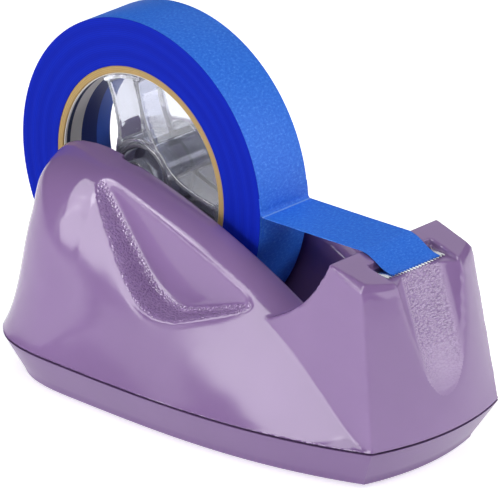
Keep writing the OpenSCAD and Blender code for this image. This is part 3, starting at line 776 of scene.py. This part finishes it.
def trimHousing(bm):
    # the skirt comes off at the seam, and the trough's bottom is joined on
    cut = cutAtSeam(bm, clear_inner=True)
    rim = [g for g in cut["geom_cut"] if isinstance(g, bmesh.types.BMEdge)]
    lid = bmesh.ops.triangle_fill(bm, edges=rim, use_beauty=True, normal=(0, 0, -1))
    for f in lid["geom"]:
        if isinstance(f, bmesh.types.BMFace):
            f.smooth = False
    keel = makeKeel()
    bm.from_mesh(keel.data)
    bpy.data.objects.remove(keel)


def makeKeel():
    # the trough's bottom, which hangs into the base
    keel = plate(wellOutline(well["wall"]), well["half"] + well["wall"])
    cutAtSeam(keel, clear_outer=True)
    bmesh.ops.holes_fill(keel, edges=keel.edges)
    bmesh.ops.recalc_face_normals(keel, faces=keel.faces)
    keel = asObject(keel, "keel", housingAbs)
    return carve(keel, asObject(plate(wellOutline(0), well["half"]), "keelTool", housingAbs))


seat(softenEdges(makeHousing(), soften, housingRound, trimHousing), "housing", "housing_plastic", "body_shell")

# base tray

# lip is how far in and up the wall turns below the shadow gap at the seam
base = dict(
    rear=40, side=70, front=24, footZ=-75.3, roundFoot=1.6, roundSteps=5, levels=(0.2, 0.4, 0.6, 0.8, 0.96),
    revealZ=seamZ - 0.8, lip=((0.12, -0.15), (0.45, 0), (1.3, 0.05)), topZ=seamZ - 0.05, ledge=1.7,
    wall=2.4, floor=2.4)


def outlinePoint(o, col):
    # once round a closed outline, from the back over +y to the front and home over -y
    b = base
    half = b["rear"] + b["side"] + b["front"]
    col %= 2 * half
    side = 1 if col <= half else -1
    k = col if col <= half else 2 * half - col
    if k < b["rear"]:
        p = rearPoint(o, rearTurn(k / b["rear"]) if k else 0.0)
    elif k <= b["rear"] + b["side"]:
        p = sidePoint(o, (k - b["rear"]) / b["side"])
    else:
        p = frontPoint(o, o.cornerHalf * (1 - (k - b["rear"] - b["side"]) / b["front"]))
    return p[0], side * p[1]


def inset(o, d):
    return planLine(*(size - d for size in o[:4]), o.bow)


def makeBase():
    b = base
    lines = []
    for k in range(b["roundSteps"] + 1):
        a = math.pi / 2 * k / b["roundSteps"]
        inward, up = b["roundFoot"] * (1 - math.sin(a)), b["roundFoot"] * (1 - math.cos(a))
        lines.append((inset(footLine, inward), b["footZ"] + up))
    for t in b["levels"]:
        o = planLine(*(mix(p, q, t) for p, q in zip(footLine, seamLine)))
        lines.append((o, mix(b["footZ"] + b["roundFoot"], b["revealZ"], t)))
    lines += [(inset(seamLine, inward), b["revealZ"] + up) for inward, up in b["lip"]]
    neck = b["lip"][-1][0]
    lines += [(inset(seamLine, neck), b["topZ"]), (inset(seamLine, neck + b["ledge"]), b["topZ"])]
    lines.append((inset(footLine, b["wall"]), b["footZ"] + b["floor"]))

    def point(col, row):
        # the first and last rows are drawn in to the middle line, which closes the two floors
        o, z = lines[min(max(row - 1, 0), len(lines) - 1)]
        x, y = outlinePoint(o, col)
        return Vector((x, y if 0 < row <= len(lines) else 0, z))

    bm = loft(2 * (b["rear"] + b["side"] + b["front"]), len(lines) + 1, point)
    bmesh.ops.recalc_face_normals(bm, faces=bm.faces)
    tray = asObject(bm, "baseTray", baseAbs)
    smoothBy(tray.data, 30)
    return tray


seat(makeBase(), "housing", "base_plastic", "base_tray")

# roll, core and label

# the sides wander a little between turns; only the outermost millimetres follow the spiral
roll = dict(
    r=58.5, half=12, core=40.75, tape=0.4, round=0.25, steps=360, peel=2.1,
    rings=24, wander=0.12, waves=37, skin=4)


def makeRoll():
    r = roll
    c = r["round"]
    outer = []
    for k in range(4):
        a = math.pi / 2 * k / 3
        outer.append((r["r"] - c * (1 - math.sin(a)), r["half"] - c * (1 - math.cos(a))))
    side = []
    for k in range(r["rings"]):
        t = k / r["rings"]
        wander = r["wander"] * math.sin(t * r["waves"]) * math.sin(math.pi * t)
        side.append((mix(r["core"], r["r"] - c, t), r["half"] + wander))
    half = side + outer
    profile = half + [(a, -b) for a, b in reversed(half)]
    bm = turned(profile, r["steps"])
    start = math.degrees(math.asin(r["peel"] / r["r"]))
    web = bm.loops.layers.uv.new("web")
    for v in bm.verts:
        reach = math.hypot(v.co.x, v.co.z)
        angle = (math.degrees(math.atan2(v.co.z, v.co.x)) - start) % 360
        if reach > r["r"] - r["skin"]:  # the outer turn spirals in from the peel line
            scale = (reach - r["tape"] * angle / 360) / reach
            v.co.x *= scale
            v.co.z *= scale
    for f in bm.faces:
        middle = f.calc_center_median()
        f.smooth = True
        outside = math.hypot(middle.x, middle.z) > r["core"] + r["skin"]
        f.material_index = 0 if outside and abs(f.normal.y) < 0.6 else 1  # the tape's face or its slit edge
        home = math.atan2(middle.z, middle.x)
        for loop in f.loops:
            a = math.atan2(loop.vert.co.z, loop.vert.co.x)
            a += 2 * math.pi * round((home - a) / (2 * math.pi))
            loop[web].uv = (a * r["r"], loop.vert.co.y)
    obj = asObject(bm, "tapeRoll", tapePaper, tapeEdge)
    obj.data.set_sharp_from_angle(angle=math.radians(50))
    return obj


seat(makeRoll(), "roll", "tape_paper", "tape_roll")

core = dict(inner=38.1, outer=40.7, half=12, fillet=0.35)
sleeve = dict(inner=core["inner"] - 0.35, outer=core["inner"] - 0.05, half=core["half"] - 0.5, fillet=0.1)
tubeSteps = 240


def makeTube(name, mat, inner, outer, half, fillet):
    corners = []
    right, left, top, low = outer - fillet, inner + fillet, half - fillet, fillet - half
    for x, y, turn in ((right, top, 0), (left, top, 90), (left, low, 180), (right, low, 270)):
        for k in range(4):
            p = polar(fillet, turn + 30 * k)
            corners.append((x + p.x, y + p.z))
    obj = asObject(turned(corners, tubeSteps), name, mat)
    smoothBy(obj.data, 50)
    return obj


seat(makeTube("cardboardCore", board, **core), "roll", "core_board", "cardboard_core")
seat(makeTube("coreLabel", label, **sleeve), "roll", "liner_paper", "core_liner")

# cutter blade


def makeBlade():
    b = blade
    rows = (-b["long"], -b["tooth"] - b["root"], 0)

    def point(col, row):
        notch = b["tooth"] if row == 2 and col % 2 == 0 else 0
        return Vector((rows[row] - notch, b["wide"] * (col / (2 * b["teeth"]) - 0.5), 0))

    bm = loft(2 * b["teeth"], 2, point)
    top = bmesh.ops.extrude_face_region(bm, geom=bm.faces[:])["geom"]
    bmesh.ops.translate(bm, vec=(0, 0, -b["thick"]), verts=[g for g in top if isinstance(g, bmesh.types.BMVert)])
    bmesh.ops.recalc_face_normals(bm, faces=bm.faces)
    crisp = [e for e in bm.edges if e.calc_face_angle(0) > math.radians(60)]
    bmesh.ops.bevel(
        bm, geom=crisp, offset=b["ease"], offset_type="OFFSET", affect="EDGES", segments=2, profile=0.5,
        material=-1, clamp_overlap=True)
    tilt = Matrix.Rotation(math.radians(b["tilt"]), 3, "Y")
    bmesh.ops.rotate(bm, cent=(0, 0, 0), matrix=tilt, verts=bm.verts)
    bmesh.ops.translate(bm, vec=(b["tipX"], 0, b["tipZ"]), verts=bm.verts)
    obj = asObject(bm, "cutterBlade", bladeSteel)
    smoothBy(obj.data, 40)
    return obj


seat(makeBlade(), "housing", "blade_steel", "cutter_blade")

# pulled strip

# over the nose the edges stand up a little, and at the teeth the strip rolls to one side
# fold and run are (x, z): fold is counted from the roll's outside, run from the axis
strip = dict(
    half=12, thick=0.3, stick=0.02, lift=0.12, hug=5, hugFrom=1.4, pitch=1.48, bite=0.7, across=80,
    curl=0.25, curlX=100, curlOver=16, tipX=112, curlFade=9, tipRoll=0.1, tipFade=6,
    fold=((0.35, 2.55), (0.95, 2.22), (2.2, 2.2)),
    run=(
        (70, 2.5), (82, 2.85), (94, 3.25), (104.6, 3.62), (107.4, 3.45), (109.8, 2.8), (111.8, 1.85),
        (113.6, 0.85), (115.4, -0.1), (117.4, -0.8), (119.3, -1.12), (120.9, -1.2)))


def smoothLine(points, count):
    # a smooth line through the given points
    out = []
    for i in range(len(points) - 1):
        p0, p1 = points[max(0, i - 1)], points[i]
        p2, p3 = points[i + 1], points[min(len(points) - 1, i + 2)]
        for k in range(count):
            t = k / count
            square, cube = 2 * p0 - 5 * p1 + 4 * p2 - p3, 3 * p1 - p0 - 3 * p2 + p3
            out.append(0.5 * (2 * p1 + (p2 - p0) * t + square * t * t + cube * t**3))
    return out + [points[-1]]


def stripPath():
    # hugs the roll above the peel line, folds forward, rides over the nose to the teeth
    s, r = strip, roll["r"]
    peel = math.degrees(math.asin(roll["peel"] / r))
    hug = []
    for t in (0, 0.15, 0.3, 0.5, 0.75, 1):
        hug.append(polar(r + mix(s["stick"], s["lift"], t), peel + s["hug"] * (1 - t) + s["hugFrom"]))
    fold = [Vector((r + x, 0, z)) for x, z in s["fold"]]
    run = [Vector((x, 0, z)) for x, z in s["run"]]
    return smoothLine(hug + fold + run, 5)


def makeStrip():
    s = strip
    path = stripPath()
    end = path[-1] - path[-2]
    end.normalize()
    teeth = 2 * s["half"] / s["pitch"]

    def point(col, row):
        t = row / s["across"]
        y = mix(-s["half"], s["half"], t)
        p = path[col].copy()
        if col == len(path) - 1:  # the torn end follows the teeth
            p += end * s["bite"] * (abs(((t * teeth) % 1) * 2 - 1) - 1)
        past = p.x - s["tipX"]
        curl = s["curl"] * ease((p.x - s["curlX"]) / s["curlOver"]) * (1 - ease(past / s["curlFade"]))
        p.z += curl * (abs(y) / s["half"]) ** 2 - s["tipRoll"] * ease(past / s["tipFade"]) * y / s["half"]
        p.y = y
        return p

    bm = loft(len(path) - 1, s["across"], point)
    web = bm.loops.layers.uv.new("web")
    for f in bm.faces:
        f.smooth = True
        for loop in f.loops:
            loop[web].uv = (loop.vert.co.x - loop.vert.co.z + stripWeb, loop.vert.co.y)
    bmesh.ops.recalc_face_normals(bm, faces=bm.faces)
    if sum(f.normal.z for f in bm.faces) < 0:
        bmesh.ops.reverse_faces(bm, faces=bm.faces)
    obj = asObject(bm, "tapeStrip", tapePaper)
    wall = obj.modifiers.new("wall", "SOLIDIFY")
    wall.thickness = s["thick"]
    wall.offset = -1
    wall.use_even_offset = False
    return settle(obj)


seat(makeStrip(), "strip", "tape_paper", "tape_lead")

# clear hub

hub = dict(voxel=0.7, fine=0.55, snap=0.22, sharp=20)


def fromCad(node, name, mat):
    # a merged copy of a solid whose shape is right already, in millimetres round the axis
    bm = bmesh.new()
    bm.from_mesh(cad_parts[node].data)
    bmesh.ops.remove_doubles(bm, verts=bm.verts, dist=1e-6)
    bmesh.ops.transform(bm, matrix=toFrame.inverted(), verts=bm.verts)
    bmesh.ops.recalc_face_normals(bm, faces=bm.faces)
    return asObject(bm, name, mat)


def hubRound(edge):
    return hub["fine"]


for node, name in (("hub_spool", "hubSpool"), ("core_adapter", "coreAdapter")):
    seat(softenEdges(fromCad(node, name, styrene), hub, hubRound), "roll", "hub_clear", node)

# solids that stay as they are

for node, mat in (
    ("ballast", plateSteel), ("base_screws", screwSteel),
    ("foot_pad_1", rubber), ("foot_pad_2", rubber), ("foot_pad_3", rubber), ("foot_pad_4", rubber),
):
    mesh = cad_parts[node].data
    mesh.materials.clear()
    mesh.materials.append(mat)
print("solids dressed")

# floor, lights, camera

studio = dict(floor=3.0, paper="#F6F6F6", glow=0.62, sky="#E9ECF2", skyGlow=0.04)


# seamless background paper: near white, matt, with a faint tooth
def backdropPaper():
    mat = newMaterial("seamlessPaper")
    place = put(mat, "ShaderNodeTexCoord").outputs["Object"]
    tooth = put(mat, "ShaderNodeTexNoise", {"Vector": place}, Scale=1 / (1.5 * mm), Detail=2.0)
    bump = put(mat, "ShaderNodeBump", {"Height": tooth.outputs[0]}, Strength=0.1, Distance=0.05 * mm)
    shader = put(
        mat, "ShaderNodeBsdfPrincipled", {"Normal": bump.outputs[0]},
        Base_Color=linear(studio["paper"]), Roughness=0.9,
        Emission_Color=linear("#FFFFFF"), Emission_Strength=studio["glow"])
    return finishMaterial(mat, shader)


bm = bmesh.new()
bmesh.ops.create_grid(bm, x_segments=1, y_segments=1, size=studio["floor"])
floor = asObject(bm, "floor", backdropPaper())

world = bpy.data.worlds.new("studio")
bpy.context.scene.world = world
world.use_nodes = True
sky = world.node_tree.nodes["Background"]
sky.inputs["Color"].default_value = linear(studio["sky"])
sky.inputs["Strength"].default_value = studio["skyGlow"]

# soft boxes: where each is aimed, where it stands from there, its size and radiance, and whether it
# shows in gloss or only shades; shapes are flagged openings, each a list of cuts (across, up, least)
sideAim, backAim = (0.0, -0.04, 0.045), (0.08, 0.0, 0.078)
lights = [
    dict(
        name="sideBank", aim=sideAim, azimuth=-120, elevation=26, away=2.6, wide=4.6, high=4.6,
        glow=5.7, gloss=True, soft=0.04, shapes=[
            [(1, -0.64, 0.51), (1, 0.833, -0.58), (0, 1, -1.15), (-1, 0, -2.25), (1.1, -1, -0.95)],
            [(1, 0, 0.4), (0, 1, -1.15), (-1, 0, -2.25), (1.1, -1, -0.95)],
            [(1, 0, 0.2), (0, 1, 0.45), (0, -1, -1.25), (-1, 0, -0.6)],
        ]),
    # two small cards stand close, so that only the rear cheek and the flare's front foot see them
    dict(
        name="cheekCard", aim=(-0.0416, -0.0387, 0.0705), azimuth=-116, elevation=22, away=0.12,
        wide=0.2, high=0.26, glow=5.4, gloss=True, soft=0.002,
        shapes=[[(-0.927, 0.375, -0.01), (0.866, 0.5, -0.005), (0, -1, -0.11)]]),
    dict(
        name="footCard", aim=(0.0785, -0.0365, 0.0193), azimuth=-106, elevation=66, away=0.06,
        wide=0.034, high=0.036, glow=4.2, gloss=True, soft=0.002,
        shapes=[[(-0.88, 0.477, -0.0105), (0, 1, -0.009), (1, 0, -0.0095)]]),
    dict(
        name="sideCard", aim=sideAim, azimuth=-122.8, elevation=12, away=2.5, wide=0.3, high=0.98,
        glow=1.1, gloss=True),
    dict(
        name="frontBox", aim=(0.09, -0.01, 0.045), azimuth=27, elevation=17, away=0.9, wide=1.15, high=0.52,
        glow=2.6, gloss=True),
    dict(
        name="backBox", aim=backAim, azimuth=118, elevation=38, away=1.0, wide=0.7, high=0.5,
        glow=0.9, gloss=True),
    dict(
        name="backWash", aim=backAim, azimuth=118, elevation=38, away=1.0, wide=0.7, high=0.5,
        glow=2.4, gloss=False),
    dict(
        name="sideWash", aim=(0.0, -0.04, 0.05), azimuth=-108, elevation=12, away=1.2, wide=1.2, high=0.3,
        glow=5.2, gloss=False),
    dict(
        name="topWash", aim=(0.0, 0.0, 0.08), azimuth=-75, elevation=58, away=1.2, wide=1.0, high=1.0,
        glow=2.3, gloss=False),
    dict(
        name="frontWash", aim=(0.05, 0.0, 0.06), azimuth=33, elevation=38, away=1.2, wide=0.9, high=0.6,
        glow=4.0, gloss=False),
]


def flagOff(data, lamp):
    # black flags leave the openings only
    data.use_nodes = True
    spot = put(data, "ShaderNodeNewGeometry").outputs["Parametric"]
    place = put(
        data, "ShaderNodeMapping", {"Vector": spot}, Location=(-lamp["wide"] / 2, -lamp["high"] / 2, 0),
        Scale=(lamp["wide"], lamp["high"], 1))

    def maths(a, b, operation):
        return put(data, "ShaderNodeMath", {0: a, 1: b}, operation=operation).outputs[0]

    opened = None
    for shape in lamp["shapes"]:
        room = None
        for across, up, least in shape:
            reach = put(
                data, "ShaderNodeVectorMath", {0: place.outputs[0], 1: (across, up, 0)}, operation="DOT_PRODUCT")
            inside = maths(reach.outputs["Value"], least, "SUBTRACT")
            room = maths(room, inside, "MINIMUM") if room else inside
        opened = maths(opened, room, "MAXIMUM") if opened else room
    soft = put(data, "ShaderNodeMapRange", {"Value": opened}, From_Min=-lamp["soft"], From_Max=lamp["soft"])
    data.node_tree.links.new(soft.outputs[0], data.node_tree.nodes["Emission"].inputs["Strength"])


for lamp in lights:
    data = bpy.data.lights.new(lamp["name"], "AREA")
    data.shape = "RECTANGLE"
    data.size, data.size_y = lamp["wide"], lamp["high"]
    data.energy = lamp["glow"] * math.pi * lamp["wide"] * lamp["high"]
    if "shapes" in lamp:
        flagOff(data, lamp)
    obj = bpy.data.objects.new(lamp["name"], data)
    az, el = math.radians(lamp["azimuth"]), math.radians(lamp["elevation"])
    way = Vector((math.cos(az) * math.cos(el), math.sin(az) * math.cos(el), math.sin(el)))
    obj.location = Vector(lamp["aim"]) + way * lamp["away"]
    obj.rotation_euler = way.to_track_quat("Z", "Y").to_euler()
    obj.visible_camera = False
    obj.visible_diffuse = not lamp["gloss"]
    obj.visible_glossy = obj.visible_transmission = lamp["gloss"]
    bpy.context.scene.collection.objects.link(obj)

# the photograph's long lens, fitted to the rims of the roll and core and the nose's corners
view = dict(lens=592.27, sensor=36, clip=20, place=(1.82435, -1.9134, 1.1999), down=23.34, turn=43.59)
lens = bpy.data.cameras.new("camera")
lens.lens = view["lens"]
lens.sensor_width = view["sensor"]
lens.clip_end = view["clip"]
camera = bpy.data.objects.new("camera", lens)
camera.location = view["place"]
camera.rotation_euler = (math.radians(90 - view["down"]), 0, math.radians(view["turn"]))
bpy.context.scene.collection.objects.link(camera)
bpy.context.scene.camera = camera
bpy.context.scene.view_settings.view_transform = "Standard"
print("studio set")
